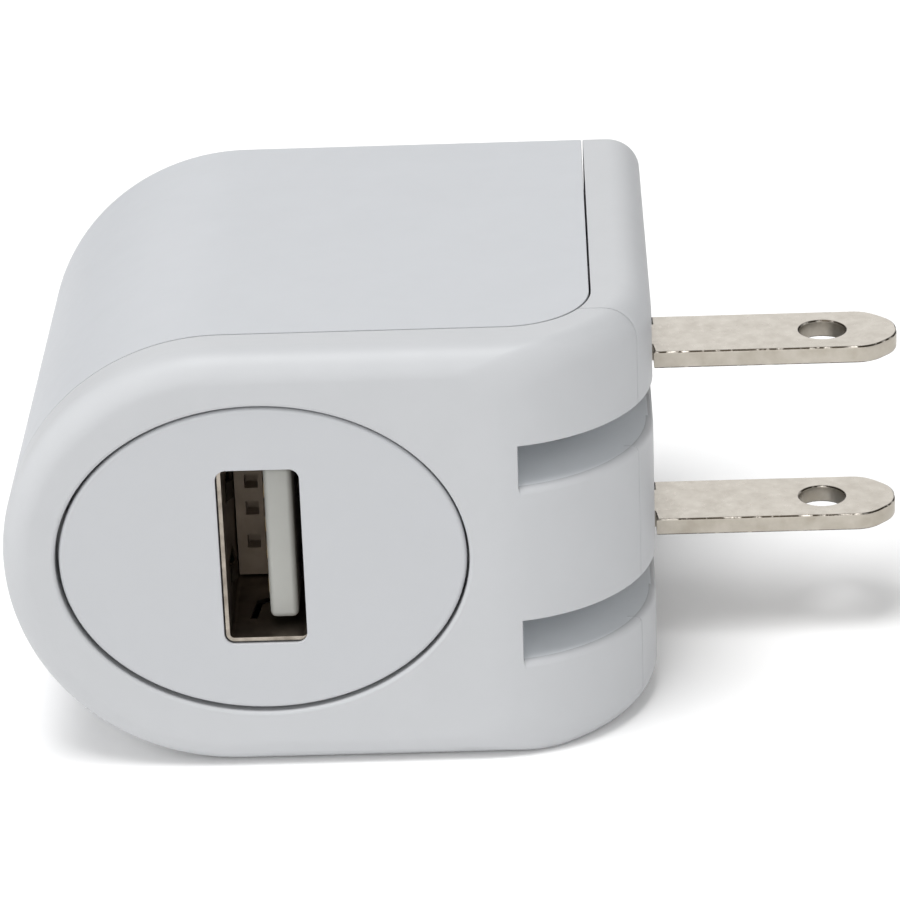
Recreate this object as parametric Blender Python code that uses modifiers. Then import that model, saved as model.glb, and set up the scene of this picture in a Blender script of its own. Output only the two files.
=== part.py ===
"""USB wall charger with two folding mains blades.

The charger lies on its flat side.  +X points to the mains blades, -Y to the USB face and
+Z up.  The origin is on the resting surface, under the middle of the overall box.
Sizes below are millimetres; meshes are built in metres.
"""
import math

import bmesh
import bpy
from mathutils import Matrix, Vector

MM = 0.001

# ---------------------------------------------------------------- driving dimensions
BODY_LENGTH = 43.4          # round end to mains face, along X
BODY_DEPTH = 38.8           # USB face to back face, along Y
BODY_HEIGHT = 30.0          # flat side to flat side, along Z
BLADE_REACH = 17.1          # mains face to blade tip
WALL = 1.8                  # housing wall
GAP = 0.3                   # clearance between neighbouring pieces
PLAN_CORNER = 11.5          # plan radius of the corner between USB face and mains face
FRONT_EDGE = 2.0            # round along the edge of the USB face
BACK_EDGE = 1.0             # round along the edge of the back face
MAINS_EDGE = 2.3            # round along the long edges of the mains face
LEAST_ROUND = 0.2           # an edge round inside the wall never gets smaller than this
FRONT_SEAM = 3.9            # USB face to the seam of the rear cover
END_SEAM = 4.1              # mains face to the seam of the rear cover
SEAM_CORNER = 5.8           # plan radius of that seam's corner
BRANCH_SEAM = 6.6           # USB face to the seam between front cover and plug end cover
LIP_THICK = 0.7             # rim behind the front wall that locates the rear cover
LIP_PAST_SEAM = 2.0
LIP_CLEAR = 0.2

OVAL_HALF_X = 13.65         # opening of the USB face for the bezel
OVAL_HALF_Z = 11.15
OVAL_FROM_ROUND_END = 17.25
OVAL_Z = 15.3
BEZEL_CLEAR = 0.25          # bezel to the edge of its opening
BEZEL_FLANGE = 0.7          # how far the bezel hooks behind the front wall
BEZEL_FLANGE_THICK = 1.0
BEZEL_CHAMFER = 0.2

PORT_FROM_ROUND_END = 17.4
PORT_Z = 15.75
PORT_OPEN_X = 5.1           # inside of the USB-A shell
PORT_OPEN_Z = 12.25
SHELL_SHEET = 0.3
SHELL_CLEAR = 0.13          # shell to the room for it in the bezel
SHELL_SETBACK = 0.35
LIP_HALF_X = 2.67           # the bezel's aperture, a lip in front of the shell's edge
LIP_HALF_Z = 6.25
LIP_SHIFT = -0.1            # its middle from the shell's middle, along X and along Z
LIP_CORNER = 0.7
LIP_DEPTH = 0.3
SHELL_LENGTH = 13.6
WINDOW_FROM_MOUTH = 3.2     # openings in the shell's sides for the plug's detents
WINDOW_LENGTH = 3.2
WINDOW_HALF = 0.9
WINDOW_PITCH = 3.0
TONGUE_THICK = 1.9
TONGUE_OFFSET = 1.03        # tongue centre from port centre, towards the mains end
TONGUE_WIDTH = 11.1
TONGUE_BEVEL = 0.4
TONGUE_SETBACK = 1.9
TONGUE_BLOCK_FROM = 9.6
TONGUE_CLEAR = 0.12         # insulator block to the inside of the shell
CONTACT_PITCHES = (-3.5, -1.0, 1.0, 3.5)
CONTACT_WIDTH = 1.0
CONTACT_SHEET = 0.2
CHANNEL_WIDTH = 1.4         # channels that the contacts lie in
CHANNEL_DEPTH = 0.25

BLADE_WIDTH = 6.3
BLADE_THICK = 1.25
BLADE_SPACING = 12.7
BLADE_PAIR_Z = 15.3         # half way between the two blades
BLADE_CHAMFER = 1.9         # sloping corners of the tip, at 45 degrees
BLADE_NOSE = 1.5            # round between each slope and the tip
BLADE_BEVEL = 0.15
BLADE_HOLE = 3.2
BLADE_HOLE_FROM_TIP = 5.1
SHANK_WIDTH = 3.4
SHANK_CLEAR = 0.12
SHANK_BEHIND_HINGE = 3.0
SHOULDER_FROM_MAINS = 0.27
HINGE_FROM_MAINS = 3.3
HINGE_FROM_FRONT = 20.0
BARREL_RADIUS = 2.4
BARREL_HALF = 9.3
BARREL_CLEAR = 0.25
TRUNNION_RADIUS = 1.2
TRUNNION_HALF = 11.9
DETENT_FLAT = 2.1           # hinge axis to each flat that the detent spring rests on
DETENT_HALF = 3.9
SLOT_PAIR_Z = 15.15         # half way between the two slots
SLOT_HEIGHT = 3.05
SLOT_LENGTH = 9.15          # mains face to the inner end of a blade slot
SLOT_WALL = 0.8
SLOT_STEP_FRONT = 4.2       # hinge to where the slot narrows behind the finger room
SLOT_STEP_BACK = 3.4
CONTACT_EXIT = (3.7, 0.6, 1.4)   # notch for a blade contact: behind the hinge, width, depth

BOARD_THICK = 1.2
BOARD_HALF = 11.7
BOARD_FROM_FRONT = 3.4
BOARD_FROM_BACK = 2.2
CORE_STAND = 0.6            # transformer core above the board
CORE_FROM_FRONT = 26.2
CORE_LENGTH = 14.0
CORE_WIDTH = 16.0
CORE_THICK = 5.0
CORE_YOKE = 2.2
CORE_AIR_GAP = 0.3
CENTRE_LEG = 4.0
BOBBIN_CLEAR = 0.2
BOBBIN_WALL = 0.6
BOBBIN_FLANGE = (0.8, 6.2, 5.5)  # thickness, half width along Y, half height along Z
WINDING_HALF = (5.6, 5.1)
WINDING_CORNER = 1.6

FAR = 60.0                  # reach of cutters past the body

# ---------------------------------------------------------------- places worked out from these
ROUND_X = -(BODY_LENGTH + BLADE_REACH) / 2
MAINS_X = ROUND_X + BODY_LENGTH
FRONT_Y = -BODY_DEPTH / 2
BACK_Y = BODY_DEPTH / 2
MID_Z = BODY_HEIGHT / 2
PORT_X = ROUND_X + PORT_FROM_ROUND_END
OVAL_X = ROUND_X + OVAL_FROM_ROUND_END
HINGE_X = MAINS_X - HINGE_FROM_MAINS
HINGE_Y = FRONT_Y + HINGE_FROM_FRONT
BOARD_FACE_X = PORT_X - PORT_OPEN_X / 2 - SHELL_SHEET - GAP
TIP_FROM_HINGE = HINGE_FROM_MAINS + BLADE_REACH
BLADE_LEVELS = (("upper", BLADE_SPACING / 2), ("lower", -BLADE_SPACING / 2))

ARC_STEPS = 22              # round end, top to bottom
CORNER_STEPS = 4            # each rounded mains edge
OVAL_STEPS = 40


# ---------------------------------------------------------------- scene, places and materials
def clear_scene():
    for old in list(bpy.data.objects):
        bpy.data.objects.remove(old, do_unlink=True)


def new_collection(name):
    collection = bpy.data.collections.new(name)
    bpy.context.scene.collection.children.link(collection)
    return collection


def new_place(name, x, y, z):
    """An empty that pieces are parented to and built around."""
    empty = bpy.data.objects.new(name, None)
    empty.location = Vector((x, y, z)) * MM
    PARTS.objects.link(empty)
    return empty


clear_scene()
PARTS = new_collection("usb_wall_charger")
CUTTERS = new_collection("cutters")
SOCKET = new_place("socket_place", PORT_X, FRONT_Y, PORT_Z)
BLADE_HINGE = new_place("blade_hinge", HINGE_X, HINGE_Y, BLADE_PAIR_Z)
HINGE_SEAT = new_place("hinge_seat", HINGE_X, HINGE_Y, BLADE_PAIR_Z)
BOARD = new_place("board_place", BOARD_FACE_X, FRONT_Y, MID_Z)


def make_material(name, colour, roughness, metallic=0.0):
    material = bpy.data.materials.new(name)
    material.use_nodes = True
    shader = material.node_tree.nodes["Principled BSDF"]
    shader.inputs["Base Color"].default_value = (*colour, 1.0)
    shader.inputs["Roughness"].default_value = roughness
    shader.inputs["Metallic"].default_value = metallic
    return material


# ---------------------------------------------------------------- mesh helpers
def add_object(name, data, material=None, place=None):
    """A piece with its material, or a cutter where no material is given, parented to its place."""
    obj = bpy.data.objects.new(name, data)
    obj.parent = place
    if material:
        data.materials.append(material)
        PARTS.objects.link(obj)
    else:
        CUTTERS.objects.link(obj)
        obj.hide_render = True
        obj.display_type = "WIRE"
    return obj


def finish_mesh(name, bm):
    """Scale a millimetre bmesh to metres, face it outwards and make it a mesh."""
    bmesh.ops.recalc_face_normals(bm, faces=bm.faces)
    bmesh.ops.transform(bm, matrix=Matrix.Scale(MM, 4), verts=bm.verts)
    data = bpy.data.meshes.new(name)
    bm.to_mesh(data)
    bm.free()
    return data


def smooth(obj, angle=35):
    obj.data.shade_smooth()
    obj.data.set_sharp_from_angle(angle=math.radians(angle))
    return obj


def is_level(edge):
    return abs(edge.verts[0].co.z - edge.verts[1].co.z) < 1e-6


def box(name, low, high, material=None, place=None, bevel=0.0):
    """A box between two corners, with bevelled edges if wanted; its origin is in its middle."""
    low = Vector(low)
    high = Vector(high)
    bm = bmesh.new()
    bmesh.ops.create_cube(bm, size=1.0, matrix=Matrix.Diagonal((*(high - low), 1.0)))
    if bevel:
        bmesh.ops.bevel(bm, geom=list(bm.edges), offset=bevel, segments=1, affect="EDGES")
    obj = add_object(name, finish_mesh(name, bm), material, place)
    obj.location = (low + high) / 2 * MM
    return obj


def cylinder(name, centre, radius, length, axis="Z", material=None, place=None, steps=24, bevel=0.0):
    """A cylinder centred on a point, its ends bevelled if wanted."""
    bm = bmesh.new()
    bmesh.ops.create_cone(bm, cap_ends=True, segments=steps, radius1=radius, radius2=radius, depth=length)
    if bevel:
        ends = [edge for edge in bm.edges if is_level(edge)]
        bmesh.ops.bevel(bm, geom=ends, offset=bevel, segments=2, affect="EDGES")
    obj = smooth(add_object(name, finish_mesh(name, bm), material, place))
    obj.location = Vector(centre) * MM
    quarter = math.pi / 2
    obj.rotation_euler = {"X": (0, quarter, 0), "Y": (quarter, 0, 0), "Z": (0, 0, 0)}[axis]
    return obj


def extrude_outline(outline, low, high, axis):
    """A bmesh of a flat outline pushed out along an axis; its two values are the other two axes."""
    order = {"X": (2, 0, 1), "Y": (0, 2, 1), "Z": (0, 1, 2)}[axis]
    bm = bmesh.new()
    face = bm.faces.new([bm.verts.new([(a, b, low)[i] for i in order]) for a, b in outline])
    pushed = bmesh.ops.extrude_face_region(bm, geom=[face])
    moved = [item for item in pushed["geom"] if isinstance(item, bmesh.types.BMVert)]
    bmesh.ops.translate(bm, vec=[(0, 0, high - low)[i] for i in order], verts=moved)
    return bm


def prism(name, outline, low, high, axis="Z", material=None, place=None):
    return add_object(name, finish_mesh(name, extrude_outline(outline, low, high, axis)), material, place)


def loft(name, rings, material=None, place=None):
    """A closed solid through rings with the same number of points, capped at both ends."""
    bm = bmesh.new()
    loops = [[bm.verts.new(point) for point in ring] for ring in rings]
    count = len(loops[0])
    for near, far in zip(loops, loops[1:]):
        for i in range(count):
            j = (i + 1) % count
            bm.faces.new((near[i], near[j], far[j], far[i]))
    bm.faces.new(loops[0])
    bm.faces.new(loops[-1])
    return smooth(add_object(name, finish_mesh(name, bm), material, place))


def combine(obj, other, operation="DIFFERENCE"):
    modifier = obj.modifiers.new(operation.lower(), "BOOLEAN")
    modifier.operation = operation
    modifier.solver = "EXACT"
    modifier.object = other
    return obj


def rounded_rectangle(half_a, half_b, radius, steps=4):
    points = []
    for turn, (sign_a, sign_b) in enumerate(((1, 1), (-1, 1), (-1, -1), (1, -1))):
        for k in range(steps + 1):
            angle = math.radians(90 * turn + 90 * k / steps)
            across = sign_a * (half_a - radius) + radius * math.cos(angle)
            along = sign_b * (half_b - radius) + radius * math.sin(angle)
            points.append((across, along))
    return points


def ribbon(path, thickness):
    """The outline of a thin strip of sheet bent along a path of corners."""
    left = []
    right = []
    for i, point in enumerate(path):
        here = Vector(point)
        runs = []
        if i > 0:
            runs.append((here - Vector(path[i - 1])).normalized())
        if i < len(path) - 1:
            runs.append((Vector(path[i + 1]) - here).normalized())
        normals = [Vector((-run.y, run.x)) for run in runs]
        normal = sum(normals, Vector((0, 0))).normalized()
        reach = thickness / 2 / normal.dot(normals[0])
        left.append(tuple(here + normal * reach))
        right.append(tuple(here - normal * reach))
    return left + right[::-1]


def arc(centre_a, centre_b, radius, start, end, steps):
    """Points along an arc between two angles in degrees."""
    points = []
    for k in range(steps + 1):
        angle = math.radians(start + (end - start) * k / steps)
        points.append((centre_a + radius * math.cos(angle), centre_b + radius * math.sin(angle)))
    return points


# ---------------------------------------------------------------- the housing's outer form
def quarter_steps(radius, count):
    """Distances from a flat face at which an edge round of that radius is sampled."""
    return [radius * (1 - math.cos(math.radians(90 * k / count))) for k in range(count + 1)]


def edge_inset(distance, radius):
    """How far an edge round has drawn the outline in, at a distance behind the flat face."""
    if distance >= radius:
        return 0.0
    rise = radius - max(distance, 0.0)
    return radius - math.sqrt(radius ** 2 - rise ** 2)


def section(depth, inset):
    """The housing's outline at a depth behind the USB face, drawn in by an inset on all sides."""
    behind_front = depth - inset
    before_back = BODY_DEPTH - inset - depth
    front_pull = edge_inset(behind_front, max(FRONT_EDGE - inset, LEAST_ROUND))
    back_pull = edge_inset(before_back, max(BACK_EDGE - inset, LEAST_ROUND))
    half = BODY_HEIGHT / 2 - inset - max(front_pull, back_pull)
    right = MAINS_X - inset - back_pull - edge_inset(behind_front, PLAN_CORNER - inset)
    corner = max(MAINS_EDGE - inset, 2 * LEAST_ROUND)
    outline = arc(ROUND_X + BODY_HEIGHT / 2, 0, half, 270, 90, ARC_STEPS)
    outline += arc(right - corner, half - corner, corner, 90, 0, CORNER_STEPS)
    outline += arc(right - corner, corner - half, corner, 0, -90, CORNER_STEPS)
    return [(x, FRONT_Y + depth, MID_Z + z) for x, z in outline]


def envelope(name, inset, material=None, back=None):
    """The solid form of the housing drawn in by an inset; `back` may stop it short."""
    front_round = max(FRONT_EDGE - inset, LEAST_ROUND)
    back_round = max(BACK_EDGE - inset, LEAST_ROUND)
    past_front_round = 1.15 * front_round
    depths = quarter_steps(front_round, 4)
    depths += [d for d in quarter_steps(PLAN_CORNER - inset, 10) if d > past_front_round]
    depths += [BODY_DEPTH - 2 * inset - d for d in reversed(quarter_steps(back_round, 3))]
    places = [inset + d for d in depths]
    if back is not None:
        places = [p for p in places if p < back] + [back]
    return loft(name, [section(p, inset) for p in places], material)


def straight_form(name, inset, near, far):
    """The housing's middle outline, drawn in and pushed straight through a range of depths."""
    outline = [(x, z) for x, y, z in section(BODY_DEPTH / 2, inset)]
    return prism(name, outline, FRONT_Y + near, FRONT_Y + far, axis="Y")


def rear_plan(offset):
    """Plan outline of everything behind the rear cover's seam, grown by an offset."""
    left = ROUND_X - FAR
    front = FRONT_Y + FRONT_SEAM - offset
    right = MAINS_X - END_SEAM + offset
    radius = SEAM_CORNER + offset
    corner = arc(right - radius, front + radius, radius, -90, 0, 8)
    return [(left, front)] + corner + [(right, BACK_Y + FAR), (left, BACK_Y + FAR)]


def oval(grow, depth):
    """The bezel's oval, grown or shrunk, as a ring at a depth behind the USB face."""
    ring = []
    for k in range(OVAL_STEPS):
        angle = 2 * math.pi * k / OVAL_STEPS
        x = OVAL_X + (OVAL_HALF_X + grow) * math.cos(angle)
        z = OVAL_Z + (OVAL_HALF_Z + grow) * math.sin(angle)
        ring.append((x, FRONT_Y + depth, z))
    return ring


# ---------------------------------------------------------------- cutters shared by the covers
def slot_plan():
    """Plan outline of a blade slot: finger room in front, the hinge behind, a contact's way out."""
    inner_x = MAINS_X - SLOT_LENGTH
    step_y = HINGE_Y - SLOT_STEP_FRONT
    back_y = HINGE_Y + SLOT_STEP_BACK
    exit_back, exit_width, exit_depth = CONTACT_EXIT
    exit_x = HINGE_X - exit_back
    return [(inner_x, FRONT_Y - FAR), (MAINS_X + FAR, FRONT_Y - FAR), (MAINS_X + FAR, back_y),
            (exit_x + exit_width, back_y), (exit_x + exit_width, back_y + exit_depth),
            (exit_x, back_y + exit_depth), (exit_x, step_y), (inner_x, step_y)]


def make_slot(name, level):
    middle = SLOT_PAIR_Z + level
    return prism(name, slot_plan(), middle - SLOT_HEIGHT / 2, middle + SLOT_HEIGHT / 2)


def slot_walls(name, front, back):
    """The plastic that each slot is sunk in, kept inside the housing's form."""
    walls = []
    half = SLOT_HEIGHT / 2 + SLOT_WALL
    for level_name, level in BLADE_LEVELS:
        middle = SLOT_PAIR_Z + level
        wall = box(f"{name}_{level_name}", (MAINS_X - SLOT_LENGTH - SLOT_WALL, front, middle - half),
                   (MAINS_X + 1, back, middle + half))
        walls.append(combine(wall, LINING, "INTERSECT"))
    return walls


CAVITY = envelope("cavity", WALL)
LINING = envelope("lining", WALL / 2)
REAR_GROWN = prism("rear_space_grown", rear_plan(GAP / 2), -FAR, FAR)
REAR_SHRUNK = prism("rear_space_shrunk", rear_plan(-GAP / 2), -FAR, FAR)
SLOTS = [make_slot(f"{level_name}_slot", level) for level_name, level in BLADE_LEVELS]


# ---------------------------------------------------------------- covers
def make_front_cover(plastic):
    """USB face with its oval opening, the rounded corner and the front ends of the blade slots."""
    branch_y = FRONT_Y + BRANCH_SEAM - GAP / 2
    cover = envelope("front_cover", 0.0, plastic, back=BRANCH_SEAM + 4)
    combine(cover, CAVITY)
    combine(cover, REAR_GROWN)
    combine(cover, box("behind_branch", (ROUND_X - FAR, branch_y, -FAR),
                       (MAINS_X + FAR, BACK_Y + FAR, FAR)))
    for wall in slot_walls("front_slot_wall", FRONT_Y + WALL / 2, branch_y):
        combine(cover, wall, "UNION")
    combine(cover, make_front_lip(), "UNION")
    for slot in SLOTS:
        combine(cover, slot)
    return combine(cover, loft("oval_opening", [oval(0.0, depth) for depth in (-2, 8)]))


def make_front_lip():
    """A thin rim on the back of the front wall that locates the rear cover from inside."""
    inset = WALL + LIP_CLEAR
    lip = straight_form("front_lip", inset, WALL / 2, FRONT_SEAM + LIP_PAST_SEAM)
    combine(lip, straight_form("front_lip_hollow", inset + LIP_THICK, -2.0, BODY_DEPTH))
    clear_of_slots = box("front_lip_block", (ROUND_X - 1, FRONT_Y - 1, -1),
                         (MAINS_X - SLOT_LENGTH - 4, BACK_Y, BODY_HEIGHT + 1))
    return combine(lip, clear_of_slots, "INTERSECT")


def make_rear_cover(plastic):
    """The wrap over top, round end and bottom, with the back wall."""
    cover = envelope("rear_cover", 0.0, plastic)
    combine(cover, CAVITY)
    return combine(cover, REAR_SHRUNK, "INTERSECT")


def make_plug_end_cover(plastic):
    """The mains face with its two slots and the slot walls behind it."""
    branch_y = FRONT_Y + BRANCH_SEAM + GAP / 2
    cover = envelope("plug_end_cover", 0.0, plastic)
    combine(cover, CAVITY)
    combine(cover, REAR_GROWN)
    combine(cover, box("before_branch", (ROUND_X - FAR, FRONT_Y - FAR, -FAR),
                       (MAINS_X + FAR, branch_y, FAR)))
    for wall in slot_walls("end_slot_wall", branch_y, HINGE_Y + SLOT_STEP_BACK + SLOT_WALL):
        combine(cover, wall, "UNION")
    for slot in SLOTS:
        combine(cover, slot)
    barrel_room = cylinder("barrel_room", (0, 0, 0), BARREL_RADIUS + BARREL_CLEAR,
                           2 * (BARREL_HALF + GAP), place=HINGE_SEAT, steps=28)
    return combine(cover, barrel_room)


def make_port_bezel(plastic):
    """Oval insert, flush with the USB face, hooked behind it by a flange."""
    flange_front = WALL + BEZEL_CLEAR
    profile = ((-BEZEL_CHAMFER, 0.0), (0.0, BEZEL_CHAMFER), (0.0, flange_front),
               (BEZEL_FLANGE, flange_front), (BEZEL_FLANGE, flange_front + BEZEL_FLANGE_THICK))
    bezel = loft("port_bezel", [oval(grow - BEZEL_CLEAR, depth) for grow, depth in profile], plastic)
    lip = rounded_rectangle(LIP_HALF_X, LIP_HALF_Z, LIP_CORNER)
    shifted = [(x + LIP_SHIFT, z + LIP_SHIFT) for x, z in lip]
    combine(bezel, prism("port_aperture", shifted, -2, 1, axis="Y", place=SOCKET))
    around = SHELL_SHEET + SHELL_CLEAR
    room = rounded_rectangle(PORT_OPEN_X / 2 + around, PORT_OPEN_Z / 2 + around, 0.7)
    return combine(bezel, prism("shell_room", room, LIP_DEPTH, 8, axis="Y", place=SOCKET))


# ---------------------------------------------------------------- USB socket, built around SOCKET
def make_usb_shell(metal):
    back = SHELL_SETBACK + SHELL_LENGTH
    outer = rounded_rectangle(PORT_OPEN_X / 2 + SHELL_SHEET, PORT_OPEN_Z / 2 + SHELL_SHEET, 0.6)
    inner = rounded_rectangle(PORT_OPEN_X / 2, PORT_OPEN_Z / 2, 0.3)
    shell = prism("usb_shell", outer, SHELL_SETBACK, back, axis="Y", material=metal, place=SOCKET)
    combine(shell, prism("usb_hollow", inner, SHELL_SETBACK - 2, back + 2, axis="Y", place=SOCKET))
    start = SHELL_SETBACK + WINDOW_FROM_MOUTH
    for side in (-1, 1):
        for level in (-1, 1):
            wall_x = side * (PORT_OPEN_X / 2 + 1.5)
            middle = level * WINDOW_PITCH
            combine(shell, box(f"usb_window_{side}_{level}", (wall_x - 2.4, start, middle - WINDOW_HALF),
                               (wall_x + 2.4, start + WINDOW_LENGTH, middle + WINDOW_HALF), place=SOCKET))
    return shell


def make_usb_tongue(plastic):
    """The insulator: a block that closes the back of the shell, and the tongue in front of it."""
    block_back = SHELL_SETBACK + SHELL_LENGTH - GAP
    half_x = PORT_OPEN_X / 2 - TONGUE_CLEAR
    half_z = PORT_OPEN_Z / 2 - TONGUE_CLEAR
    near_side = TONGUE_OFFSET - TONGUE_THICK / 2
    insulator = box("usb_tongue", (-half_x, TONGUE_BLOCK_FROM, -half_z), (half_x, block_back, half_z),
                    plastic, SOCKET)
    tongue = box("tongue_blade", (near_side, TONGUE_SETBACK, -TONGUE_WIDTH / 2),
                 (near_side + TONGUE_THICK, TONGUE_BLOCK_FROM + 0.5, TONGUE_WIDTH / 2),
                 place=SOCKET, bevel=TONGUE_BEVEL)
    combine(insulator, tongue, "UNION")
    for number, pitch in enumerate(CONTACT_PITCHES, 1):
        channel = box(f"contact_channel_{number}",
                      (near_side - 0.6, TONGUE_SETBACK + 0.7, pitch - CHANNEL_WIDTH / 2),
                      (near_side + CHANNEL_DEPTH, block_back + 1, pitch + CHANNEL_WIDTH / 2), place=SOCKET)
        combine(insulator, channel)
    return insulator


def make_usb_contacts(metal):
    """Four sprung strips along the tongue that turn down to the board behind the socket."""
    surface = TONGUE_OFFSET - TONGUE_THICK / 2
    start = TONGUE_SETBACK + 0.9
    turn = SHELL_SETBACK + SHELL_LENGTH + 0.6
    board_end = BOARD_FACE_X - PORT_X + 0.1
    path = [(surface + 0.05, start), (surface - 0.15, start + 2.4), (surface, TONGUE_BLOCK_FROM),
            (surface, turn), (board_end, turn)]
    for number, pitch in enumerate(CONTACT_PITCHES, 1):
        prism(f"usb_contact_{number}", ribbon(path, CONTACT_SHEET), pitch - CONTACT_WIDTH / 2,
              pitch + CONTACT_WIDTH / 2, material=metal, place=SOCKET)


# ---------------------------------------------------------------- folding blades, built around the hinge
def make_blade(name, level, metal):
    """A flat mains blade: sloped tip, round hole, and a narrower shank held in the carrier."""
    half = BLADE_WIDTH / 2
    shank = SHANK_WIDTH / 2
    shoulder = HINGE_FROM_MAINS + SHOULDER_FROM_MAINS
    nose_y = half - BLADE_CHAMFER - BLADE_NOSE * math.tan(math.radians(22.5))
    outline = [(-SHANK_BEHIND_HINGE, 0.6 - shank), (0.6 - SHANK_BEHIND_HINGE, -shank), (shoulder, -shank),
               (shoulder, -half), (TIP_FROM_HINGE - BLADE_CHAMFER, -half)]
    outline += arc(TIP_FROM_HINGE - BLADE_NOSE, -nose_y, BLADE_NOSE, -45, 0, 4)
    outline += [(x, -y) for x, y in reversed(outline)]
    bm = extrude_outline(outline, level - BLADE_THICK / 2, level + BLADE_THICK / 2, "Z")
    beyond = shoulder - 0.1
    rims = [edge for edge in bm.edges if is_level(edge) and min(v.co.x for v in edge.verts) > beyond]
    bmesh.ops.bevel(bm, geom=rims, offset=BLADE_BEVEL, segments=1, affect="EDGES")
    blade = add_object(name, finish_mesh(name, bm), metal, BLADE_HINGE)
    hole = cylinder(f"{name}_hole", (TIP_FROM_HINGE - BLADE_HOLE_FROM_TIP, 0, level), BLADE_HOLE / 2,
                    2 * BLADE_THICK, place=BLADE_HINGE, steps=20)
    return combine(blade, hole)


def make_blade_carrier(plastic):
    """Turned barrel with a trunnion at each end, two detent flats and a pocket for each shank."""
    profile = [(0, TRUNNION_HALF), (TRUNNION_RADIUS, TRUNNION_HALF), (TRUNNION_RADIUS, BARREL_HALF),
               (BARREL_RADIUS, BARREL_HALF)]
    profile += [(x, -z) for x, z in reversed(profile)]
    data = bpy.data.meshes.new("blade_carrier")
    links = [(i, i + 1) for i in range(len(profile) - 1)]
    data.from_pydata([(x * MM, 0, z * MM) for x, z in profile], links, [])
    carrier = add_object("blade_carrier", data, plastic, BLADE_HINGE)
    turned = carrier.modifiers.new("turned", "SCREW")
    turned.steps = 28
    turned.render_steps = 28
    turned.use_merge_vertices = True
    turned.merge_threshold = 0.00001
    reach = BARREL_RADIUS + 1
    half_y = SHANK_WIDTH / 2 + SHANK_CLEAR
    half_z = BLADE_THICK / 2 + SHANK_CLEAR
    for level_name, level in BLADE_LEVELS:
        combine(carrier, box(f"{level_name}_shank_pocket", (-reach, -half_y, level - half_z),
                             (reach, half_y, level + half_z), place=BLADE_HINGE))
    combine(carrier, box("flat_open", (-reach, DETENT_FLAT, -DETENT_HALF), (reach, reach, DETENT_HALF),
                         place=BLADE_HINGE))
    combine(carrier, box("flat_folded", (-reach, -reach, -DETENT_HALF), (-DETENT_FLAT, reach, DETENT_HALF),
                         place=BLADE_HINGE))
    return carrier


def make_carrier_retainer(plastic):
    """Two saddles that hold the trunnions against the mains wall, joined by a web."""
    left = -5.4
    right = HINGE_FROM_MAINS - WALL - GAP
    web_front = 5.3
    web_back = 6.5
    low = BARREL_HALF + 0.5
    high = TRUNNION_HALF - 0.3
    bore = TRUNNION_RADIUS + 0.2
    retainer = box("carrier_retainer", (left, web_front, -high), (right, web_back, high), plastic,
                   HINGE_SEAT)
    for level_name, sign in (("upper", 1), ("lower", -1)):
        bottom, top = sorted((sign * low, sign * high))
        saddle = box(f"{level_name}_saddle", (left, -3.4, bottom), (right, web_back - 0.2, top),
                     place=HINGE_SEAT)
        combine(retainer, saddle, "UNION")
        combine(retainer, cylinder(f"{level_name}_notch", (0, 0, (bottom + top) / 2), bore, high - low + 1,
                                   place=HINGE_SEAT, steps=20))
        combine(retainer, box(f"{level_name}_mouth", (0, -bore, bottom - 0.5), (right + 1, bore, top + 0.5),
                              place=HINGE_SEAT))
    return retainer


def make_detent_spring(metal):
    """A leaf that rests on the carrier's flats, with two legs back to the retainer."""
    left = -2.5
    right = 0.9
    leaf = DETENT_FLAT + 0.52
    foot = 5.1
    path = [(left - 1.2, foot), (left, foot), (left, leaf), (right, leaf), (right, foot)]
    return prism("detent_spring", ribbon(path, 0.2), -3.3, 3.3, material=metal, place=HINGE_SEAT)


def make_blade_contact(name, level, metal):
    """A sprung strip that the shank's end meets when the blades are out."""
    behind = -(SHANK_BEHIND_HINGE + 0.4)
    turn = 4.75
    path = [(behind, -2.2), (behind, turn), (behind - 2.0, turn)]
    return prism(name, ribbon(path, 0.25), level - 1.0, level + 1.0, material=metal, place=HINGE_SEAT)


def make_wire(name, sign, insulation):
    """A short insulated lead from a blade contact, along the back wall, to the board."""
    level = sign * BLADE_SPACING / 2
    board_end = BOARD_FACE_X - HINGE_X + 0.15
    high = level + sign * 4.7
    route = [(-6.0, 4.9, level), (-6.2, 7.5, level + sign * 0.6), (-7.2, 11.5, level + sign * 2.4),
             (-11.5, 15.0, level + sign * 4.2), (-17.0, 15.4, high), (board_end + 2.0, 15.4, high),
             (board_end, 15.4, high)]
    curve = bpy.data.curves.new(name, "CURVE")
    curve.dimensions = "3D"
    curve.bevel_depth = 0.6 * MM
    curve.bevel_resolution = 2
    curve.use_fill_caps = True
    spline = curve.splines.new("POLY")
    fine = smooth_route(route, 4)
    spline.points.add(len(fine) - 1)
    for point, place in zip(spline.points, fine):
        point.co = (*(place * MM), 1.0)
    return add_object(name, curve, insulation, HINGE_SEAT)


def smooth_route(route, steps):
    """Points along a Catmull-Rom curve through a route."""
    points = [Vector(p) for p in route]
    padded = [2 * points[0] - points[1]] + points + [2 * points[-1] - points[-2]]
    fine = []
    for a, b, c, d in zip(padded, padded[1:], padded[2:], padded[3:]):
        for k in range(steps):
            t = k / steps
            bend = 2 * a - 5 * b + 4 * c - d
            twist = 3 * b - a - 3 * c + d
            fine.append((2 * b + (c - a) * t + bend * t ** 2 + twist * t ** 3) / 2)
    return fine + [points[-1]]


# ---------------------------------------------------------------- electronics, built around BOARD
# x is the height over the board's face, y the depth behind the USB face, z the height from the middle.
def make_board(laminate):
    return box("main_board", (-BOARD_THICK, BOARD_FROM_FRONT, -BOARD_HALF),
               (0, BODY_DEPTH - BOARD_FROM_BACK, BOARD_HALF), laminate, BOARD)


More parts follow.
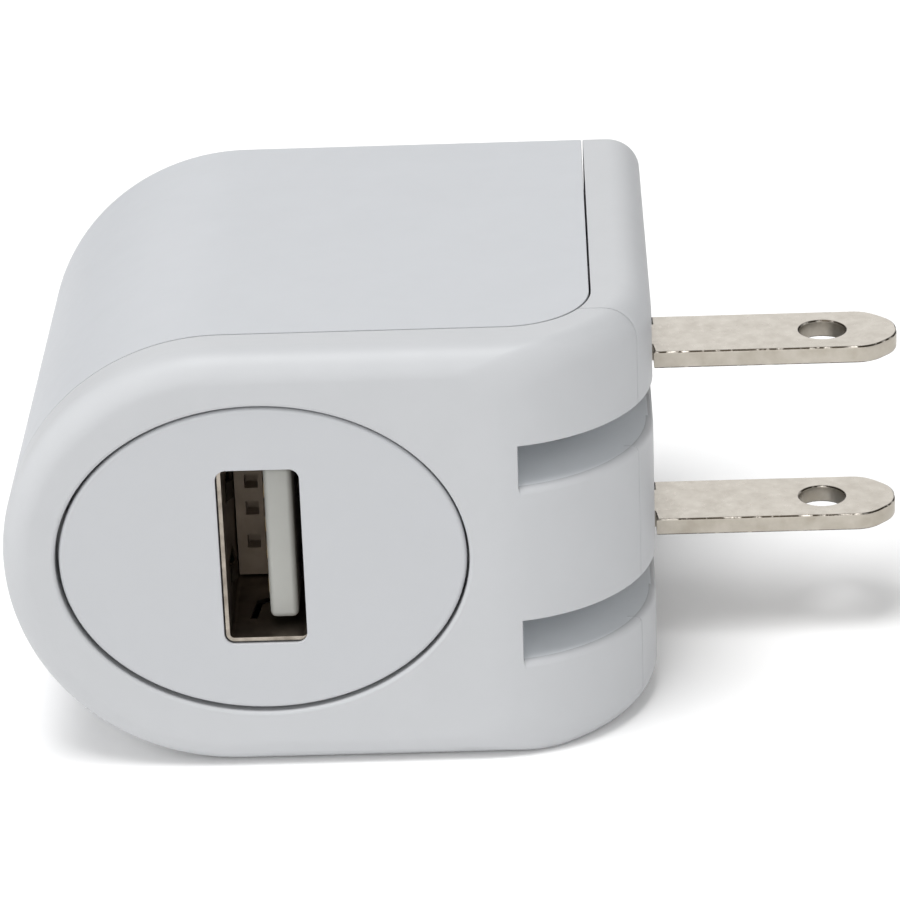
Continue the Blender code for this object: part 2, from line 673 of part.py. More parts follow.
def make_core_half(name, start, sign, ferrite):
    """One E-shaped half of the transformer core, its legs along X."""
    length = (CORE_LENGTH - CORE_AIR_GAP) / 2
    half = CORE_WIDTH / 2
    leg = CENTRE_LEG / 2
    side = half - CORE_YOKE
    profile = [(0, -half), (length, -half), (length, -side), (CORE_YOKE, -side), (CORE_YOKE, -leg),
               (length, -leg)]
    profile += [(a, -b) for a, b in reversed(profile)]
    return prism(name, [(start + sign * a, b) for a, b in profile], CORE_FROM_FRONT - CORE_THICK / 2,
                 CORE_FROM_FRONT + CORE_THICK / 2, axis="Y", material=ferrite, place=BOARD)


def around_core(name, low_x, high_x, half_y, half_z, material=None):
    """A box round the transformer's middle line, between two heights over the board."""
    return box(name, (low_x, CORE_FROM_FRONT - half_y, -half_z), (high_x, CORE_FROM_FRONT + half_y, half_z),
               material, BOARD)


def make_transformer(ferrite, bobbin_plastic, tape):
    far = CORE_STAND + CORE_LENGTH
    make_core_half("transformer_core_inner", CORE_STAND, 1, ferrite)
    make_core_half("transformer_core_outer", far, -1, ferrite)
    low = CORE_STAND + CORE_YOKE + BOBBIN_CLEAR
    high = far - CORE_YOKE - BOBBIN_CLEAR
    bore_y = CORE_THICK / 2 + BOBBIN_CLEAR
    bore_z = CENTRE_LEG / 2 + BOBBIN_CLEAR
    flange, flange_y, flange_z = BOBBIN_FLANGE
    bobbin = around_core("transformer_bobbin", low, high, bore_y + BOBBIN_WALL, bore_z + BOBBIN_WALL,
                         bobbin_plastic)
    combine(bobbin, around_core("bobbin_flange_inner", low, low + flange, flange_y, flange_z), "UNION")
    combine(bobbin, around_core("bobbin_flange_outer", high - flange, high, flange_y, flange_z), "UNION")
    combine(bobbin, around_core("bobbin_bore", low - 1, high + 1, bore_y, bore_z))
    wound = [(CORE_FROM_FRONT + a, b) for a, b in rounded_rectangle(*WINDING_HALF, WINDING_CORNER, 3)]
    past_flange = flange + BOBBIN_CLEAR
    winding = prism("transformer_winding", wound, low + past_flange, high - past_flange, axis="X",
                    material=tape, place=BOARD)
    past_wall = BOBBIN_WALL + BOBBIN_CLEAR
    combine(winding, around_core("winding_bore", low, high, bore_y + past_wall, bore_z + past_wall))


def make_capacitors(sleeve):
    for number, side in enumerate((1, -1), 1):
        cylinder(f"mains_capacitor_{number}", (11.4, 9.0, side * 6.1), 4.0, 11.4, "Z", sleeve, BOARD,
                 bevel=0.4)
    cylinder("output_capacitor", (4.7, 18.2, 9.1), 3.0, 9.0, "X", sleeve, BOARD, bevel=0.4)


def make_small_components(dark, ceramic, ferrite):
    box("bridge_rectifier", (0.15, 32.4, -9.4), (2.6, 36.2, -4.6), dark, BOARD, bevel=0.25)
    box("controller_chip", (0.15, 16.2, -11.4), (1.75, 20.2, -6.4), dark, BOARD, bevel=0.15)
    box("output_diode", (0.15, 23.2, 9.2), (2.3, 27.5, 11.8), dark, BOARD, bevel=0.2)
    cylinder("y_capacitor", (3.9, 34.9, 0), 3.0, 2.6, "Y", ceramic, BOARD, bevel=0.7)
    cylinder("fusible_resistor", (1.8, 27.0, -10.4), 1.6, 8.6, "Y", ceramic, BOARD, steps=16, bevel=0.5)
    cylinder("filter_inductor", (3.1, 31.6, 9.8), 2.2, 5.8, "X", ferrite, BOARD, steps=20, bevel=0.4)


def make_insulation_sheet(film):
    """A sheet between the slot walls and the components."""
    face = MAINS_X - SLOT_LENGTH - SLOT_WALL - GAP - BOARD_FACE_X
    return box("insulation_sheet", (face - 0.3, 6.4, -11.8), (face, 25.0, 11.8), film, BOARD)


# ---------------------------------------------------------------- assembly
def build():
    white = make_material("white_satin_plastic", (0.80, 0.82, 0.84), 0.42)
    bezel_white = make_material("white_gloss_plastic", (0.80, 0.82, 0.85), 0.22)
    ivory = make_material("ivory_insulator", (0.82, 0.81, 0.77), 0.45)
    nickel = make_material("nickel_plate", (0.66, 0.62, 0.57), 0.32, 1.0)
    steel = make_material("bright_steel", (0.55, 0.52, 0.49), 0.30, 1.0)
    spring_metal = make_material("spring_bronze", (0.70, 0.50, 0.28), 0.35, 1.0)
    black = make_material("black_moulding", (0.03, 0.03, 0.03), 0.5)
    laminate = make_material("board_laminate", (0.05, 0.22, 0.10), 0.45)
    ferrite = make_material("ferrite", (0.07, 0.07, 0.08), 0.6)
    tape = make_material("winding_tape", (0.75, 0.60, 0.12), 0.5)
    sleeve = make_material("capacitor_sleeve", (0.04, 0.05, 0.09), 0.35)
    ceramic = make_material("ceramic_coat", (0.14, 0.25, 0.48), 0.4)
    film = make_material("insulating_film", (0.75, 0.74, 0.68), 0.6)
    insulation = make_material("wire_insulation", (0.75, 0.75, 0.76), 0.5)

    make_front_cover(white)
    make_rear_cover(white)
    make_plug_end_cover(white)
    make_port_bezel(bezel_white)
    make_usb_shell(steel)
    make_usb_tongue(ivory)
    make_usb_contacts(spring_metal)
    for level_name, level in BLADE_LEVELS:
        make_blade(f"{level_name}_blade", level, nickel)
        make_blade_contact(f"{level_name}_blade_contact", level, spring_metal)
    make_blade_carrier(white)
    make_carrier_retainer(black)
    make_detent_spring(spring_metal)
    make_wire("line_wire", 1, insulation)
    make_wire("neutral_wire", -1, insulation)
    make_board(laminate)
    make_transformer(ferrite, black, tape)
    make_capacitors(sleeve)
    make_small_components(black, ceramic, ferrite)
    make_insulation_sheet(film)


build()
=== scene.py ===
import math

import bmesh
import bpy
from mathutils import Matrix, Vector


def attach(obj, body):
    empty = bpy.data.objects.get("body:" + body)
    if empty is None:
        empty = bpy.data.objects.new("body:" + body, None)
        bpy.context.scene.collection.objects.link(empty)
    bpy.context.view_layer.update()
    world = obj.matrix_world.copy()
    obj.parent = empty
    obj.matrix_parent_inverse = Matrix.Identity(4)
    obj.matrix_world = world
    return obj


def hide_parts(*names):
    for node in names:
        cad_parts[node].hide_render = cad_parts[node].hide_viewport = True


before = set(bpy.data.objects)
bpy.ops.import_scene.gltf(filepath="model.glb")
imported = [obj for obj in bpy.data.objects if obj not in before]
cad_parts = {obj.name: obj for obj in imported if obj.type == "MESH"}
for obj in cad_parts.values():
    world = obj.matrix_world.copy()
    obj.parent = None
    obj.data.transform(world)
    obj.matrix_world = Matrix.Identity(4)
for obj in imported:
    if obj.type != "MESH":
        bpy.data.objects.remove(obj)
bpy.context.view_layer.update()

# Looks of a USB wall charger with folding blades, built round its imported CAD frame.
# +X points to the mains blades, -Y to the USB face, +Z up.  Sizes are millimetres; finished
# pieces are scaled to metres.

MM = 0.001

# ---------------------------------------------------------------- sizes of the frame
ROUND_X = -30.25            # round end
MAINS_X = 13.15             # mains face
TIP_X = 30.25               # blade tips
FRONT_Y = -19.4             # USB face
BACK_Y = 19.4
BODY_DEPTH = BACK_Y - FRONT_Y
BODY_HEIGHT = 30.0
MID_Z = 15.0
WALL = 1.8
PLAN_CORNER = 11.5
FRONT_EDGE = 2.0
BACK_EDGE = 1.0
MAINS_EDGE = 2.3
LEAST_ROUND = 0.2
FRONT_SEAM = 3.9
END_SEAM = 4.1
SEAM_CORNER = 5.8
BRANCH_SEAM = 6.6
FAR = 60.0

OVAL_X = -13.0
OVAL_Z = 15.3
OVAL_HALF_X = 13.65
OVAL_HALF_Z = 11.15
BEZEL_FLANGE = 0.7          # how far the flange behind the front wall reaches past the oval
BEZEL_FLANGE_SPAN = (2.05, 3.05)

PORT_X = -12.85
PORT_Z = 15.75
PORT_OPEN_X = 5.1
PORT_OPEN_Z = 12.25
SHELL_SHEET = 0.3
SHELL_SETBACK = 0.35
SHELL_LENGTH = 13.6
SHELL_ROOM = 0.13
LIP_HALF_X = 2.745
LIP_HALF_Z = 6.32
LIP_SHIFT = -0.175
LIP_DEPTH = 0.3
PORT_CORNER = 0.7
WINDOW_FROM_MOUTH = 3.2
WINDOW_LENGTH = 3.2
WINDOW_HALF = 0.9
WINDOW_PITCH = 3.0
WINDOW_CUT_OUT = 1.5        # the window cutter's middle, outside the opening
WINDOW_CUT_HALF = 2.4
LEAF_SHEET = 0.2            # sprung leaves in the windows, thinner than the shell
LEAF_HALF = 0.65
LEAF_PATH = ((0.0, 3.3), (-0.35, 1.5), (-0.5, 0.8), (-0.15, 0.15))
# outline of the bent slit in the shell's lower wall, and the heights it is cut through
FLOOR_SLIT = ((-1.4, 3.1), (-0.9, 3.1), (-0.65, 5.2), (0.4, 5.9), (0.4, 6.6), (-1.05, 5.8))
FLOOR_SLIT_SPAN = (-7.5, -5.5)
TONGUE_THICK = 1.9
TONGUE_OFFSET = 1.03
TONGUE_WIDTH = 11.1
TONGUE_SETBACK = 1.9
TONGUE_BLOCK_FROM = 9.6
TONGUE_CLEAR = 0.12
CHANNEL_HALF = 0.7
CHANNEL_DEPTH = 0.25
ROOT_SPAN = (-1.75, -0.85)  # pockets at the contacts' roots, across the socket
ROOT_HALF = 0.5
ROOT_DEPTH = 1.2
CONTACT_PITCHES = (-3.5, -1.0, 1.0, 3.5)

HINGE_X = 9.85
HINGE_Y = 0.6
PAIR_Z = 15.3
BLADE_SPACING = 12.7
BLADE_LEVELS = (("upper", BLADE_SPACING / 2), ("lower", -BLADE_SPACING / 2))
BLADE_WIDTH = 6.3
BLADE_THICK = 1.25
BLADE_CHAMFER = 1.9
BLADE_NOSE = 2.4
BLADE_HEEL = 2.4
BLADE_HOLE = 3.2
BLADE_HOLE_FROM_TIP = 5.1
SHANK_WIDTH = 3.4
SHANK_BEHIND_HINGE = 3.0
SHANK_CHAMFER = 0.6
SHOULDER_FROM_MAINS = 0.27
BARREL_RADIUS = 2.4
BARREL_HALF = 9.3
TRUNNION_RADIUS = 1.2
TRUNNION_HALF = 11.9
TURNED_CHAMFER = 0.15
POCKET_HALF = 1.82
POCKET_CLEAR = 0.12
DETENT_FLAT = 2.1           # the flats' distance from the carrier's axis
DETENT_HALF = 3.9
SLOT_PAIR_Z = 15.15
SLOT_HEIGHT = 3.05
SLOT_LENGTH = 9.15
SLOT_WALL = 0.8
SLOT_STEP_AHEAD = 4.2       # of the hinge: where a slot gets deeper, for the barrel
SLOT_BACK_PAST = 3.4        # behind the hinge: where a slot ends on the mains face
SLOT_EXIT_INSIDE = 3.7      # inside of the hinge: the deep part's end
SLOT_EXIT_STEP = (0.6, 1.4)
BARREL_ROOM_RADIUS = 2.65
BARREL_ROOM_LENGTH = 19.2

# ---------------------------------------------------------------- sizes of the finish
SEAM_HALF = 0.06            # half the gap that shows at the rear cover's seam
BRANCH_HALF = 0.022
BEZEL_CLEAR = 0.20
BEZEL_SHIFT_X = 0.05        # the bezel sits a little off the middle of its opening,
BEZEL_SHIFT_Z = 0.08        # so its gap is widest at the lower left
BEZEL_RECESS = 0.12
EDGE_ROUND = 0.07           # moulded edges at the seams
RIM_ROUND = 0.28            # rims of the oval opening and of the bezel
SLOT_SILL_ROUND = 0.5       # worn lower edge of each blade slot
SLOT_SILL_STEPS = 5
BLADE_RIM_ROUND = 0.16
TONGUE_ROUND = 0.42         # front edges of the tongue
SHELL_MOUTH_ROUND = 0.06
LIP_ROUND = 0.08            # mouth of the bezel's aperture
OVAL_STEPS = 144
ROUND_STEPS = 6
TURN_STEPS = 72
FINE = {"arc": 72, "corner": 10, "front": 12, "plan": 32, "back": 8}
COARSE = {"arc": 24, "corner": 4, "front": 4, "plan": 10, "back": 3}


# ---------------------------------------------------------------- mesh helpers, in millimetres
def piece_of(name, bm):
    bmesh.ops.recalc_face_normals(bm, faces=bm.faces)
    data = bpy.data.meshes.new(name)
    bm.to_mesh(data)
    bm.free()
    obj = bpy.data.objects.new(name, data)
    bpy.context.scene.collection.objects.link(obj)
    return obj


def extrude(name, outline, low, high, axis="Z", shift=(0, 0, 0)):
    """A flat outline pushed out along an axis; its two values are the other two axes."""
    order = {"X": (2, 0, 1), "Y": (0, 2, 1), "Z": (0, 1, 2)}[axis]
    bm = bmesh.new()
    face = bm.faces.new([bm.verts.new([(a, b, low)[i] for i in order]) for a, b in outline])
    pushed = bmesh.ops.extrude_face_region(bm, geom=[face])
    moved = [item for item in pushed["geom"] if isinstance(item, bmesh.types.BMVert)]
    bmesh.ops.translate(bm, vec=[(0, 0, high - low)[i] for i in order], verts=moved)
    bmesh.ops.translate(bm, vec=shift, verts=bm.verts)
    return piece_of(name, bm)


def block(name, low, high, shift=(0, 0, 0)):
    outline = [(low[0], low[1]), (high[0], low[1]), (high[0], high[1]), (low[0], high[1])]
    return extrude(name, outline, low[2], high[2], shift=shift)


def cylinder(name, centre, radius, length, axis="Z", steps=64):
    turn = {"X": Matrix.Rotation(math.pi / 2, 4, "Y"), "Y": Matrix.Rotation(math.pi / 2, 4, "X"),
            "Z": Matrix.Identity(4)}[axis]
    bm = bmesh.new()
    bmesh.ops.create_cone(bm, cap_ends=True, segments=steps, radius1=radius, radius2=radius,
                          depth=length, matrix=Matrix.Translation(centre) @ turn)
    return piece_of(name, bm)


def loft(name, rings):
    bm = bmesh.new()
    loops = [[bm.verts.new(point) for point in ring] for ring in rings]
    count = len(loops[0])
    for near, far in zip(loops, loops[1:]):
        for i in range(count):
            j = (i + 1) % count
            bm.faces.new((near[i], near[j], far[j], far[i]))
    bm.faces.new(loops[0])
    bm.faces.new(loops[-1])
    return piece_of(name, bm)


def combine(obj, *others, operation="DIFFERENCE"):
    """Apply boolean operations at once and drop the other solids."""
    for other in others:
        modifier = obj.modifiers.new("boolean", "BOOLEAN")
        modifier.operation = operation
        modifier.solver = "MANIFOLD"
        modifier.object = other
    bpy.context.view_layer.update()
    evaluated = obj.evaluated_get(bpy.context.evaluated_depsgraph_get())
    data = bpy.data.meshes.new_from_object(evaluated)
    obj.modifiers.clear()
    obj.data = data
    for other in others:
        bpy.data.objects.remove(other)
    return obj


def clean(obj, level=0.4):
    """Merge the flat facets that booleans leave."""
    bm = bmesh.new()
    bm.from_mesh(obj.data)
    bmesh.ops.remove_doubles(bm, verts=bm.verts, dist=0.004)
    bmesh.ops.dissolve_limit(bm, angle_limit=math.radians(level), verts=bm.verts, edges=bm.edges)
    bm.to_mesh(obj.data)
    bm.free()
    return obj


def round_edges(obj, width, segments=2, chosen=None, angle=32.0):
    """Round the sharp convex edges that are chosen."""
    bm = bmesh.new()
    bm.from_mesh(obj.data)
    bm.normal_update()
    sharp = []
    for edge in bm.edges:
        if len(edge.link_faces) == 2 and edge.calc_face_angle_signed(0.0) > math.radians(angle):
            if chosen is None or chosen(edge):
                sharp.append(edge)
    bmesh.ops.bevel(bm, geom=sharp, offset=width, segments=segments, profile=0.5, affect="EDGES",
                    clamp_overlap=False, loop_slide=True)
    bm.to_mesh(obj.data)
    bm.free()
    return obj


def rounded_rectangle(half_a, half_b, radius, steps=8):
    points = []
    for turn, (sign_a, sign_b) in enumerate(((1, 1), (-1, 1), (-1, -1), (1, -1))):
        for k in range(steps + 1):
            angle = math.radians(90 * turn + 90 * k / steps)
            across = sign_a * (half_a - radius) + radius * math.cos(angle)
            along = sign_b * (half_b - radius) + radius * math.sin(angle)
            points.append((across, along))
    return points


def arc(centre_a, centre_b, radius, start, end, steps):
    points = []
    for k in range(steps + 1):
        angle = math.radians(start + (end - start) * k / steps)
        points.append((centre_a + radius * math.cos(angle), centre_b + radius * math.sin(angle)))
    return points


def ribbon(path, thickness):
    """The outline of a thin strip of sheet bent along a path of corners."""
    left = []
    right = []
    for i, point in enumerate(path):
        here = Vector(point)
        runs = []
        if i > 0:
            runs.append((here - Vector(path[i - 1])).normalized())
        if i < len(path) - 1:
            runs.append((Vector(path[i + 1]) - here).normalized())
        normals = [Vector((-run.y, run.x)) for run in runs]
        normal = sum(normals, Vector((0, 0))).normalized()
        reach = thickness / 2 / normal.dot(normals[0])
        left.append(tuple(here + normal * reach))
        right.append(tuple(here - normal * reach))
    return left + right[::-1]


# ---------------------------------------------------------------- finishing a piece
def finish_piece(obj, material, body, slot, *nodes, sharp=28.0):
    """Scale to metres, shade, give the materials and set the piece to stand for its CAD nodes.

    Faces painted beforehand keep their material index, which clearing the slots would reset.
    """
    obj.data.transform(Matrix.Scale(MM, 4))
    painted = [face.material_index for face in obj.data.polygons]
    obj.data.materials.clear()
    for one in material if isinstance(material, (list, tuple)) else [material]:
        obj.data.materials.append(one)
    obj.data.polygons.foreach_set("material_index", painted)
    obj.data.shade_smooth()
    obj.data.set_sharp_from_angle(angle=math.radians(sharp))
    weighted = obj.modifiers.new("even_normals", "WEIGHTED_NORMAL")
    weighted.keep_sharp = True
    weighted.weight = 90
    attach(obj, body)
    if nodes:
        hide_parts(*nodes)
    return obj


# ---------------------------------------------------------------- materials
def node_of(tree, kind, **sockets):
    node = tree.nodes.new(kind)
    for name, value in sockets.items():
        node.inputs[name].default_value = value
    return node


def noise_of(tree, place, scale, detail=3.0, roughness=0.55, stretch=None):
    source = place
    if stretch:
        mapping = tree.nodes.new("ShaderNodeMapping")
        mapping.inputs["Scale"].default_value = stretch
        tree.links.new(place, mapping.inputs["Vector"])
        source = mapping.outputs["Vector"]
    noise = node_of(tree, "ShaderNodeTexNoise", Scale=scale, Detail=detail, Roughness=roughness)
    tree.links.new(source, noise.inputs["Vector"])
    return noise.outputs["Fac"]


def surface(name, dark, light, rough, metallic=0.0, patch=260.0, grain=9000.0, bump=0.05, depth=0.00001,
            stretch=None, specular=0.5, contrast=(0.35, 0.65)):
    """A finish whose tone wanders between two colours, with a fine grain in roughness and relief."""
    material = bpy.data.materials.new(name)
    material.use_nodes = True
    tree = material.node_tree
    shader = tree.nodes["Principled BSDF"]
    shader.inputs["Metallic"].default_value = metallic
    shader.inputs["Specular IOR Level"].default_value = specular
    place = tree.nodes.new("ShaderNodeTexCoord").outputs["Object"]
    ramp = tree.nodes.new("ShaderNodeValToRGB")
    ramp.color_ramp.elements[0].position = contrast[0]
    ramp.color_ramp.elements[0].color = (*dark, 1.0)
    ramp.color_ramp.elements[1].position = contrast[1]
    ramp.color_ramp.elements[1].color = (*light, 1.0)
    tree.links.new(noise_of(tree, place, patch, 5.0, 0.6, stretch), ramp.inputs["Fac"])
    tree.links.new(ramp.outputs["Color"], shader.inputs["Base Color"])
    spread = tree.nodes.new("ShaderNodeMapRange")
    spread.inputs["To Min"].default_value = rough[0]
    spread.inputs["To Max"].default_value = rough[1]
    fine = noise_of(tree, place, grain, 2.0, 0.5, stretch)
    tree.links.new(noise_of(tree, place, patch * 3, 4.0, 0.6, stretch), spread.inputs["Value"])
    tree.links.new(spread.outputs["Result"], shader.inputs["Roughness"])
    relief = node_of(tree, "ShaderNodeBump", Strength=bump, Distance=depth)
    tree.links.new(fine, relief.inputs["Height"])
    tree.links.new(relief.outputs["Normal"], shader.inputs["Normal"])
    return material


def tints(colour, spread):
    """A darker and a lighter neighbour of a colour."""
    return tuple(c * (1 - spread) for c in colour), tuple(c * (1 + spread) for c in colour)


HOUSING = surface("housing_plastic", *tints((0.424, 0.432, 0.444), 0.009), (0.44, 0.54), bump=0.05,
                  specular=0.4)
REAR = surface("rear_plastic", *tints((0.426, 0.438, 0.457), 0.009), (0.44, 0.54), bump=0.05, specular=0.4)
BEZEL = surface("bezel_plastic", *tints((0.412, 0.421, 0.436), 0.005), (0.32, 0.38), bump=0.01)
# painted light and shade: the shell's steel in two tones, lighter at the mouth where light falls and darkened
# inside the socket for its shade
SOCKET_RIM_PAINTED_LIGHT = surface("socket_rim_painted_light", (0.25, 0.22, 0.185), (0.42, 0.38, 0.325), (0.25, 0.40), 1.0,
                    patch=900.0)
# painted light: the slot faces get a plastic much lighter and bluer than the housing, standing in for light
# that reaches into the slots
SLOT_PAINTED_LIGHT = surface("slot_plastic_painted_light", *tints((0.625, 0.645, 0.665), 0.012), (0.44, 0.54), bump=0.05)
SOCKET_STEEL_PAINTED_SHADE = surface("socket_steel", (0.125, 0.103, 0.084), (0.20, 0.17, 0.14), (0.30, 0.46), 1.0, patch=700.0)
IVORY = surface("ivory_insulator", *tints((0.345, 0.347, 0.325), 0.02), (0.40, 0.52), patch=500.0, bump=0.1)
# painted shade: the socket's back block is dark brown, standing in for the shade deep inside the shell
SOCKET_BACK_PAINTED_SHADE = surface("socket_back_painted_shade", (0.22, 0.17, 0.125), (0.30, 0.235, 0.175), (0.45, 0.6), patch=500.0)
NICKEL = surface("blade_nickel", (0.44, 0.405, 0.355), (0.55, 0.515, 0.46), (0.20, 0.40), 1.0, patch=900.0,
                 grain=3800.0, bump=0.25, depth=0.00002, contrast=(0.3, 0.7))
BORE = surface("blade_hole_wall", (0.27, 0.245, 0.205), (0.35, 0.325, 0.285), (0.30, 0.50), 1.0, patch=620.0)
# painted shade: the blades' side faces get a darker copy of the nickel, standing in for the darker reflection
# they take
BLADE_SIDE_PAINTED_SHADE = surface("blade_side_painted_shade", (0.39, 0.355, 0.30), (0.50, 0.465, 0.41), (0.30, 0.50), 1.0,
                  patch=620.0,
                  grain=3800.0, bump=0.25, depth=0.00002, contrast=(0.3, 0.7))
# painted reflection: the blades' rounded edges get a painted dark reflection line broken by painted glints
BLADE_EDGE_PAINTED_REFLECTION = surface("blade_edge_painted_reflection", (0.05, 0.04, 0.03), (0.60, 0.56, 0.50), (0.30, 0.45), 1.0, patch=1100.0,
               contrast=(0.50, 0.62))
BRONZE = surface("contact_metal", (0.55, 0.38, 0.18), (0.74, 0.55, 0.30), (0.25, 0.4), 1.0, patch=900.0)
BLACK = surface("black_moulding", (0.018, 0.018, 0.018), (0.04, 0.04, 0.042), (0.4, 0.6), patch=500.0)
LAMINATE = surface("board_laminate", (0.03, 0.16, 0.07), (0.06, 0.24, 0.11), (0.35, 0.5), patch=300.0,
                   stretch=(1.0, 4.0, 1.0))
FERRITE = surface("ferrite", (0.04, 0.04, 0.045), (0.09, 0.09, 0.10), (0.5, 0.7), patch=1500.0, bump=0.3)
TAPE = surface("winding_tape", (0.62, 0.48, 0.07), (0.80, 0.66, 0.16), (0.35, 0.5), patch=200.0,
               stretch=(6.0, 1.0, 1.0))
SLEEVE = surface("capacitor_sleeve", (0.025, 0.03, 0.06), (0.05, 0.06, 0.12), (0.25, 0.4), patch=300.0)
CERAMIC = surface("ceramic_coat", (0.10, 0.19, 0.40), (0.17, 0.30, 0.55), (0.3, 0.5), patch=900.0)
FILM = surface("insulating_film", *tints((0.72, 0.71, 0.66), 0.05), (0.4, 0.6), patch=200.0)
WIRE = surface("wire_insulation", *tints((0.68, 0.68, 0.69), 0.05), (0.4, 0.5), patch=300.0)


# ---------------------------------------------------------------- the housing's outer form
def quarter_steps(radius, count):
    return [radius * (1 - math.cos(math.radians(90 * k / count))) for k in range(count + 1)]


def edge_inset(distance, radius):
    """How far an edge round has drawn the outline in, at a distance behind the flat face."""
    if distance >= radius:
        return 0.0
    rise = radius - max(distance, 0.0)
    return radius - math.sqrt(radius ** 2 - rise ** 2)


def section(depth, inset, steps):
    """The housing's outline at a depth behind the USB face, drawn in by an inset on all sides."""
    behind_front = depth - inset
    before_back = BODY_DEPTH - inset - depth
    front_pull = edge_inset(behind_front, max(FRONT_EDGE - inset, LEAST_ROUND))
    back_pull = edge_inset(before_back, max(BACK_EDGE - inset, LEAST_ROUND))
    half = BODY_HEIGHT / 2 - inset - max(front_pull, back_pull)
    right = MAINS_X - inset - back_pull - edge_inset(behind_front, PLAN_CORNER - inset)
    corner = max(MAINS_EDGE - inset, 2 * LEAST_ROUND)
    outline = arc(ROUND_X + BODY_HEIGHT / 2, 0, half, 270, 90, steps["arc"])
    outline += arc(right - corner, half - corner, corner, 90, 0, steps["corner"])
    outline += arc(right - corner, corner - half, corner, 0, -90, steps["corner"])
    return [(x, FRONT_Y + depth, MID_Z + z) for x, z in outline]


def envelope(name, inset=0.0, back=None, steps=FINE):
    """The solid form of the housing drawn in by an inset; `back` may stop it short."""
    front_round = max(FRONT_EDGE - inset, LEAST_ROUND)
    back_round = max(BACK_EDGE - inset, LEAST_ROUND)
    past_front_round = 1.06 * front_round
    depths = quarter_steps(front_round, steps["front"])
    depths += [d for d in quarter_steps(PLAN_CORNER - inset, steps["plan"]) if d > past_front_round]
    depths += [BODY_DEPTH - 2 * inset - d for d in reversed(quarter_steps(back_round, steps["back"]))]
    places = [inset + d for d in depths]
    if back is not None:
        places = [p for p in places if p < back - 0.01] + [back]
    return loft(name, [section(p, inset, steps) for p in places])


def rear_plan(offset):
    left = ROUND_X - FAR
    front = FRONT_Y + FRONT_SEAM - offset
    right = MAINS_X - END_SEAM + offset
    radius = SEAM_CORNER + offset
    corner = arc(right - radius, front + radius, radius, -90, 0, 28)
    return [(left, front)] + corner + [(right, BACK_Y + FAR), (left, BACK_Y + FAR)]


def rear_space(offset):
    return extrude("rear_space", rear_plan(offset), -FAR, FAR)


def oval(grow, depth):
    ring = []
    for k in range(OVAL_STEPS):
        angle = 2 * math.pi * k / OVAL_STEPS
        x = OVAL_X + (OVAL_HALF_X + grow) * math.cos(angle)
        z = OVAL_Z + (OVAL_HALF_Z + grow) * math.sin(angle)
        ring.append((x, FRONT_Y + depth, z))
    return ring


def slot_cutters():
    inner_x = MAINS_X - SLOT_LENGTH
    step_y = HINGE_Y - SLOT_STEP_AHEAD
    back_y = HINGE_Y + SLOT_BACK_PAST
    exit_x = HINGE_X - SLOT_EXIT_INSIDE
    step, past = SLOT_EXIT_STEP
    plan = [(inner_x, FRONT_Y - FAR), (MAINS_X + FAR, FRONT_Y - FAR), (MAINS_X + FAR, back_y),
            (exit_x + step, back_y), (exit_x + step, back_y + past), (exit_x, back_y + past),
            (exit_x, step_y), (inner_x, step_y)]
    cutters = []
    for _, level in BLADE_LEVELS:
        middle = SLOT_PAIR_Z + level
        cutters.append(extrude("slot", plan, middle - SLOT_HEIGHT / 2, middle + SLOT_HEIGHT / 2))
    return cutters


def slot_walls(front, back):
    """The plastic that each slot is sunk in, kept inside the housing's form."""
    walls = []
    half = SLOT_HEIGHT / 2 + SLOT_WALL
    for _, level in BLADE_LEVELS:
        middle = SLOT_PAIR_Z + level
        wall = block("slot_wall", (MAINS_X - SLOT_LENGTH - SLOT_WALL, front, middle - half),
                     (MAINS_X + 1, back, middle + half))
        walls.append(combine(wall, envelope("lining", WALL / 2, steps=COARSE), operation="INTERSECT"))
    return walls


def is_outside(edge):
    """An edge that shows: between a face of the outer form and a wall."""
    x, y, z = (edge.verts[0].co + edge.verts[1].co) / 2
    depth = y - FRONT_Y
    half = BODY_HEIGHT / 2 - edge_inset(depth, FRONT_EDGE) - edge_inset(BODY_DEPTH - depth, BACK_EDGE)
    centre_x = ROUND_X + BODY_HEIGHT / 2
    right = MAINS_X - edge_inset(depth, PLAN_CORNER)
    if depth < 0.05 or depth > BODY_DEPTH - 0.05 or x > right - 0.05 - MAINS_EDGE:
        return abs(z - MID_Z) > half - MAINS_EDGE or x > right - 0.1 or depth < 0.05
    if x > centre_x:
        return abs(z - MID_Z) > half - 0.1
    return math.hypot(x - centre_x, z - MID_Z) > half - 0.1


def paint_slot_light(cover):
    """The faces of the blade slots take the cover's second material, a lighter and bluer plastic: painted
    light in the slots.
    """
    half = SLOT_HEIGHT / 2
    for face in cover.data.polygons:
        x, _, z = face.center
        face.material_index = 0
        for _, level in BLADE_LEVELS:
            if x > MAINS_X - SLOT_LENGTH - 0.01 and abs(z - SLOT_PAIR_Z - level) < half + 0.01:
                face.material_index = 1


def is_sill(edge):
    """The lower outer edge of a blade slot."""
    for _, level in BLADE_LEVELS:
        floor = SLOT_PAIR_Z + level - SLOT_HEIGHT / 2
        if all(abs(v.co.z - floor) < 0.01 for v in edge.verts):
            return is_outside(edge)
    return False


